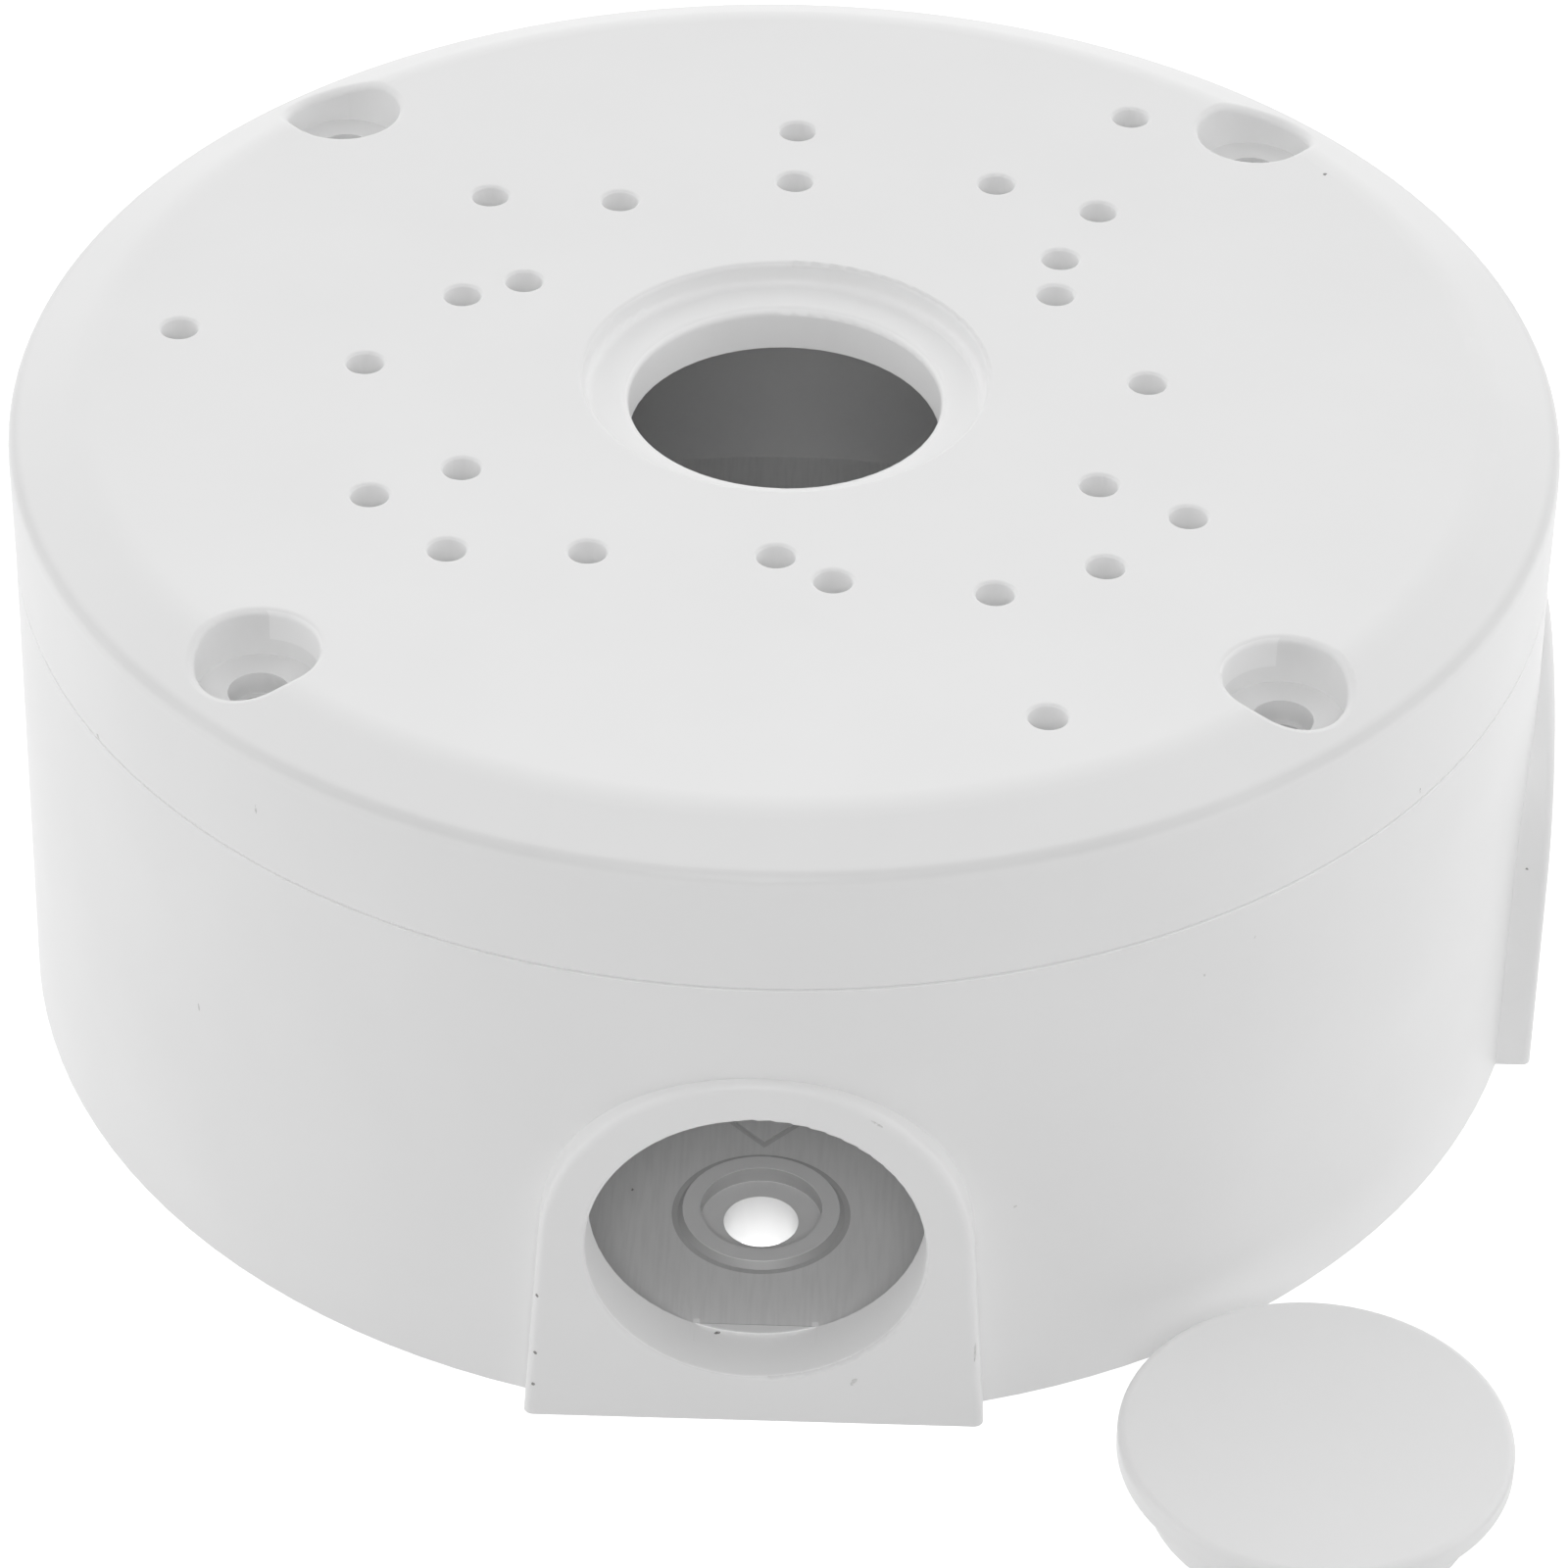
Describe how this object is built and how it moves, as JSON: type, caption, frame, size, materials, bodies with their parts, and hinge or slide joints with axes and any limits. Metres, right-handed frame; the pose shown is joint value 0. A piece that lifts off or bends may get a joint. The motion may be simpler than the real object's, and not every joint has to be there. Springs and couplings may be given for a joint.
{
  "type": "camera junction box",
  "caption": "Round white wall box for a surveillance camera, with a drilled lid, a wide cable hole, open side ports and loose port plugs.",
  "frame": {"origin": "centre of the base on the wall plane, on the axis of the round box", "axes": "+Z out of the wall along the box's axis, -Y out of the front port, +X out of the side port"},
  "size_m": [0.2463, 0.1613, 0.0603],
  "materials": {
    "housing": "fine matte moulded ABS",
    "plug": "smooth moulded polyethylene",
    "seal": "matte rubber"
  },
  "bodies": {
    "root": {"base_housing": "housing", "lid": "housing", "lid_seal": "seal", "blank_plug_1": "plug", "cable_plug_1": "plug", "blank_plug_2": "plug", "cable_plug_2": "plug"}
  },
  "joints": []
}
